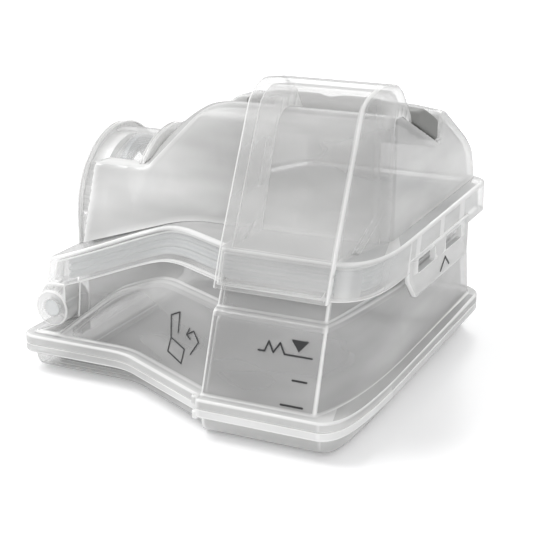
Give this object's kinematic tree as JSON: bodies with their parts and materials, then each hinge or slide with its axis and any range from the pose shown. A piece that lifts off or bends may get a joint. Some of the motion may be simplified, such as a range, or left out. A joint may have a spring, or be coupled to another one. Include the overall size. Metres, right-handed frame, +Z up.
{
  "type": "humidifier water tub",
  "caption": "Clear humidifier water tub of a bedside breathing machine, with a hinged domed lid, a thumb grip, a side latch, air ports and a metal heater plate.",
  "frame": {"origin": "centre of the heater plate's flat underside, which is the face that the tub stands on", "axes": "+X to the tub's right, where the latch is; +Y to its back; +Z up. The front panel with the level marks faces -Y"},
  "size_m": [0.1268, 0.1342, 0.1001],
  "materials": {
    "clear_lid": "clear polycarbonate, polished",
    "clear_tub": "clear polycarbonate, lightly tinted",
    "silicone": "translucent silicone, satin",
    "dark_pad": "dark grey silicone, matte",
    "heater_metal": "dull steel",
    "pin_plastic": "milky plastic",
    "black_print": "printed"
  },
  "bodies": {
    "base": {"base_tray": "clear_tub", "tank_wall": "clear_tub", "heater_plate": "heater_metal", "heater_gasket": "silicone", "hinge_pin_front": "pin_plastic", "hinge_pin_rear": "pin_plastic", "level_marks": "black_print", "fill_pictogram": "black_print"},
    "lid": {"lid_rim": "clear_lid", "lid_dome": "clear_lid", "thumb_grip": "clear_lid", "lid_seal": "silicone", "inlet_port": "clear_lid", "inlet_seal": "silicone", "inlet_duct": "clear_lid", "splash_plate": "clear_lid", "outlet_duct": "clear_lid", "outlet_seal": "dark_pad"},
    "latch": {"side_latch": "clear_lid", "latch_arrow": "black_print"}
  },
  "joints": [
    {"name": "lid_hinge", "type": "hinge", "parent": "base", "child": "lid", "pos_m": [-0.0509, 0, 0.0228], "axis": [0, -1, 0], "range_deg": [0, 100]},
    {"name": "latch_flex", "type": "hinge", "parent": "lid", "child": "latch", "pos_m": [0.06205, 0.011, 0.04635], "axis": [0, -1, 0], "range_deg": [0, 12], "stiffness_Nm_per_rad": 0.05}
  ]
}
